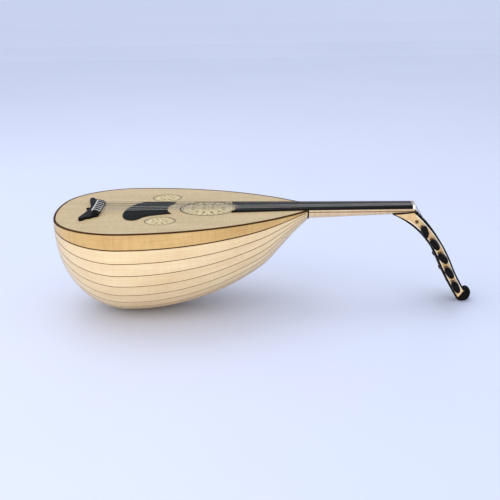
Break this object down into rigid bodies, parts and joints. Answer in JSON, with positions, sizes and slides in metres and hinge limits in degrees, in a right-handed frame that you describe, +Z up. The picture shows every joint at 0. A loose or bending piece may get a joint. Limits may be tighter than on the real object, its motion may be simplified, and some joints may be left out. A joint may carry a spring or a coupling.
{
  "type": "oud",
  "caption": "Fretless short-necked lute with a ribbed bowl back, three rosettes and a bent-back pegbox, lying on its bowl; every tuning peg turns.",
  "frame": {"origin": "bottom centre of the whole instrument as it lies, level with the lowest rib and the finial", "axes": "+X from the tail towards the neck and finial, +Y towards the bass side, +Z up out of the soundboard"},
  "size_m": [0.789, 0.351, 0.198],
  "materials": {
    "rib_maple": "gloss lacquer over pale figured maple",
    "edge_rib_maple": "gloss lacquer over honey-coloured maple",
    "soundboard_spruce": "satin, fine straight grain along the strings",
    "binding_wood": "satin dark brown",
    "rosette_wood": "satin pale fretwork",
    "pickguard_ebony": "satin black",
    "bridge_ebony": "satin black",
    "ring_ebony": "satin black",
    "cap_ebony": "satin black",
    "neck_maple": "gloss lacquer over pale maple with a brown lengthwise strip",
    "fingerboard_ebony": "polished black",
    "nut_bone": "polished bone",
    "pegbox_maple": "gloss lacquer over honey maple, dark edges",
    "finial_ebony": "polished black",
    "peg_wood": "satin, rosewood shafts and near-black heads",
    "string": "clear nylon and silver-wound strings",
    "inner_spruce": "bare wood"
  },
  "bodies": {
    "root": {"rib_01": "edge_rib_maple", "rib_02": "rib_maple", "rib_03": "rib_maple", "rib_04": "rib_maple", "rib_05": "rib_maple", "rib_06": "rib_maple", "rib_07": "rib_maple", "rib_08": "rib_maple", "rib_09": "rib_maple", "rib_10": "rib_maple", "rib_11": "rib_maple", "rib_12": "rib_maple", "rib_13": "rib_maple", "rib_14": "rib_maple", "rib_15": "rib_maple", "rib_16": "rib_maple", "rib_17": "rib_maple", "rib_18": "rib_maple", "rib_19": "rib_maple", "rib_20": "rib_maple", "rib_21": "edge_rib_maple", "string_01": "string", "string_02": "string", "string_03": "string", "string_04": "string", "string_05": "string", "string_06": "string", "string_07": "string", "string_08": "string", "string_09": "string", "string_10": "string", "string_11": "string", "neck_block": "inner_spruce", "tail_block": "inner_spruce", "brace_frame": "inner_spruce", "tail_cap": "cap_ebony", "soundboard": "soundboard_spruce", "edge_binding": "binding_wood", "rosette_large": "rosette_wood", "rosette_small_near": "rosette_wood", "rosette_small_far": "rosette_wood", "pickguard": "pickguard_ebony", "bridge": "bridge_ebony", "neck_ring": "ring_ebony", "neck": "neck_maple", "fingerboard": "fingerboard_ebony", "nut": "nut_bone", "pegbox": "pegbox_maple", "finial": "finial_ebony"},
    "peg_01": {"peg_01": "peg_wood"},
    "peg_02": {"peg_02": "peg_wood"},
    "peg_03": {"peg_03": "peg_wood"},
    "peg_04": {"peg_04": "peg_wood"},
    "peg_05": {"peg_05": "peg_wood"},
    "peg_06": {"peg_06": "peg_wood"},
    "peg_07": {"peg_07": "peg_wood"},
    "peg_08": {"peg_08": "peg_wood"},
    "peg_09": {"peg_09": "peg_wood"},
    "peg_10": {"peg_10": "peg_wood"},
    "peg_11": {"peg_11": "peg_wood"}
  },
  "joints": [
    {"name": "peg_01_turn", "type": "hinge", "parent": "root", "child": "peg_01", "pos_m": [0.28291, 0, 0.1609], "axis": [0, 1, 0], "continuous": true},
    {"name": "peg_02_turn", "type": "hinge", "parent": "root", "child": "peg_02", "pos_m": [0.29373, 0, 0.14932], "axis": [0, -1, 0], "continuous": true},
    {"name": "peg_03_turn", "type": "hinge", "parent": "root", "child": "peg_03", "pos_m": [0.3038, 0, 0.13709], "axis": [0, 1, 0], "continuous": true},
    {"name": "peg_04_turn", "type": "hinge", "parent": "root", "child": "peg_04", "pos_m": [0.31308, 0, 0.12423], "axis": [0, -1, 0], "continuous": true},
    {"name": "peg_05_turn", "type": "hinge", "parent": "root", "child": "peg_05", "pos_m": [0.32152, 0, 0.11082], "axis": [0, 1, 0], "continuous": true},
    {"name": "peg_06_turn", "type": "hinge", "parent": "root", "child": "peg_06", "pos_m": [0.3291, 0, 0.09689], "axis": [0, -1, 0], "continuous": true},
    {"name": "peg_07_turn", "type": "hinge", "parent": "root", "child": "peg_07", "pos_m": [0.33577, 0, 0.08252], "axis": [0, 1, 0], "continuous": true},
    {"name": "peg_08_turn", "type": "hinge", "parent": "root", "child": "peg_08", "pos_m": [0.34213, 0, 0.068], "axis": [0, -1, 0], "continuous": true},
    {"name": "peg_09_turn", "type": "hinge", "parent": "root", "child": "peg_09", "pos_m": [0.34878, 0, 0.05361], "axis": [0, 1, 0], "continuous": true},
    {"name": "peg_10_turn", "type": "hinge", "parent": "root", "child": "peg_10", "pos_m": [0.3557, 0, 0.03936], "axis": [0, -1, 0], "continuous": true},
    {"name": "peg_11_turn", "type": "hinge", "parent": "root", "child": "peg_11", "pos_m": [0.36291, 0, 0.02524], "axis": [0, 1, 0], "continuous": true}
  ]
}
